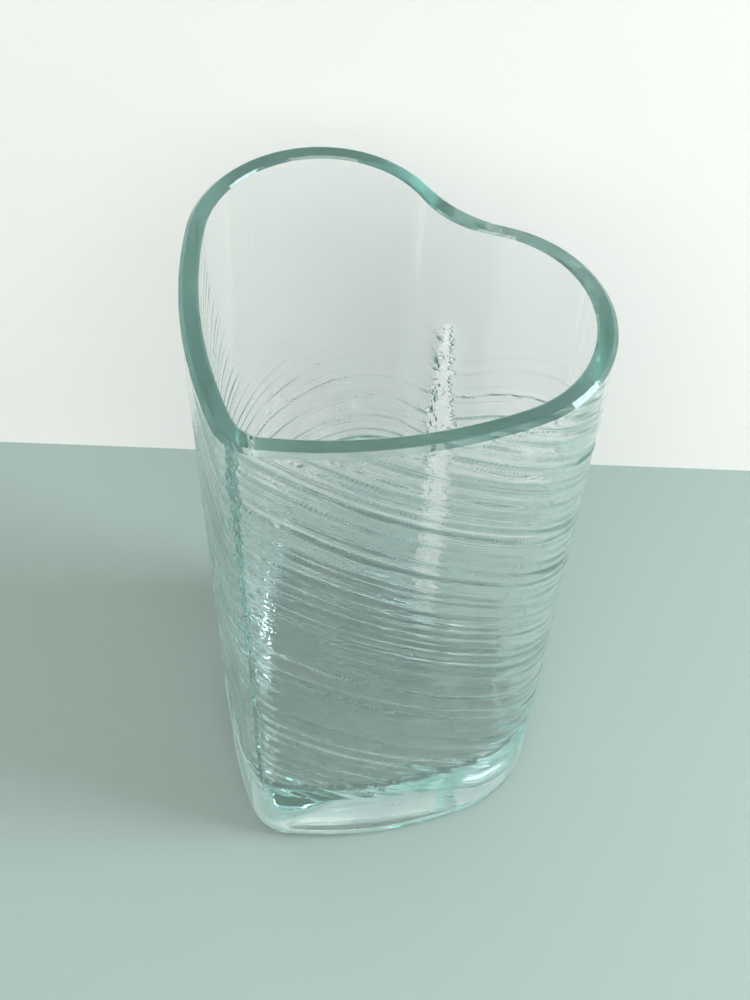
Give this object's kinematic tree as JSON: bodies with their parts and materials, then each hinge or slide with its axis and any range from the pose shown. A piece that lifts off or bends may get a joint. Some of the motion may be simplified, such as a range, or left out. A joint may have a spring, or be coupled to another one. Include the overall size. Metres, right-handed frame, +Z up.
{
  "type": "heart-shaped glass vase",
  "caption": "Tall open glass vase with a heart-shaped section, a flat cut rim, fine wavy ripples outside and a thick solid base. It stands free and holds cut flowers.",
  "frame": {"origin": "centre of the vase's bounding box, on the surface that it stands on", "axes": "+Z up, +Y from the heart's tip towards its notch, X = 0 is the heart's plane of symmetry"},
  "size_m": [0.0804, 0.0692, 0.15],
  "materials": {
    "glass": "clear pressed glass with a faint cool green tint that deepens to bottle green along the cut edge, glossy, with fine wavy ripples outside and a few seeds"
  },
  "bodies": {
    "root": {"glass_vase": "glass"}
  },
  "joints": []
}
